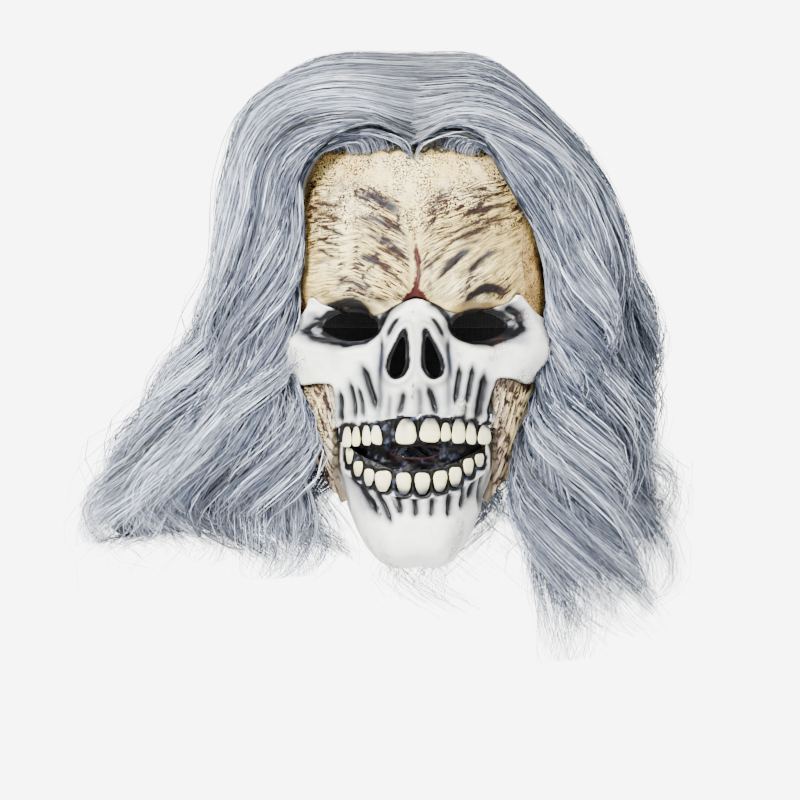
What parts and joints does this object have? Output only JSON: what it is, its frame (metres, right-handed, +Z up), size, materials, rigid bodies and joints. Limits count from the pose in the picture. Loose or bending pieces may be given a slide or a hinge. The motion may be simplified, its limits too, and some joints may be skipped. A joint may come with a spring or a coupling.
{
  "type": "latex halloween mask",
  "caption": "Three-quarter latex skull mask with wrinkled forehead, open toothy mouth with a hinged jaw, and a centre-parted shoulder-length grey wig on an elastic cap.",
  "frame": {"origin": "middle of the wearer's head, level with the eyes, where the head fills the mask", "axes": "the face looks towards -Y, +X is the wearer's left, +Z is up"},
  "size_m": [0.3192, 0.2509, 0.326],
  "materials": {
    "flesh_latex": "painted cream latex, wrinkled and stippled, satin",
    "sinew_latex": "painted tan latex strands with dark wash, satin",
    "bone_latex": "white latex with grey airbrushed grooves, satin",
    "tooth_latex": "cream painted latex, semi-gloss",
    "black_latex": "black painted latex, semi-gloss",
    "foam": "open-cell foam, matt",
    "cap_net": "knitted net, matt",
    "elastic": "woven elastic, matt",
    "thread": "black thread",
    "grey_hair": "synthetic grey hair, silky",
    "nylon": "moulded nylon",
    "rivet_steel": "nickel-plated, satin"
  },
  "bodies": {
    "mask": {"forehead_skin": "flesh_latex", "temple_skin_left": "flesh_latex", "temple_skin_right": "flesh_latex", "cheek_flesh_left": "sinew_latex", "cheek_flesh_right": "sinew_latex", "bone_face": "bone_latex", "upper_teeth": "tooth_latex", "upper_gum": "black_latex", "brow_pad": "foam", "wig_cap": "cap_net", "cap_edge_elastic": "elastic", "weft_track_1": "cap_net", "weft_track_2": "cap_net", "weft_track_3": "cap_net", "weft_track_4": "cap_net", "hairline_band": "cap_net", "hairline_stitching": "thread", "hair_crown_left": "grey_hair", "hair_crown_right": "grey_hair", "hair_side_left": "grey_hair", "hair_side_right": "grey_hair", "hair_back_left": "grey_hair", "hair_back_right": "grey_hair", "head_strap": "elastic", "rivet_left": "rivet_steel", "rivet_right": "rivet_steel", "rivet_washer_left": "rivet_steel", "rivet_washer_right": "rivet_steel"},
    "jaw": {"jaw_bone": "bone_latex", "lower_teeth": "tooth_latex", "lower_gum": "black_latex", "mouth_bed": "black_latex", "chin_pad": "foam"},
    "slider": {"strap_slider": "nylon"},
    "fall_left": {"hair_fall_left": "grey_hair"},
    "fall_right": {"hair_fall_right": "grey_hair"}
  },
  "joints": [
    {"name": "jaw_open", "type": "hinge", "parent": "mask", "child": "jaw", "pos_m": [0, -0.008, -0.022], "axis": [1, 0, 0], "range_deg": [0, 8], "stiffness_Nm_per_rad": 2},
    {"name": "slider_slide", "type": "slide", "parent": "mask", "child": "slider", "axis": [1, 0, 0], "range_m": [-0.005, 0.005]},
    {"name": "fall_left_swing", "type": "hinge", "parent": "mask", "child": "fall_left", "pos_m": [0.084, 0, 0.0548], "axis": [0, -1, 0], "range_deg": [0, 12]},
    {"name": "fall_right_swing", "type": "hinge", "parent": "mask", "child": "fall_right", "pos_m": [-0.084, 0, 0.0548], "axis": [0, 1, 0], "range_deg": [0, 12]}
  ]
}
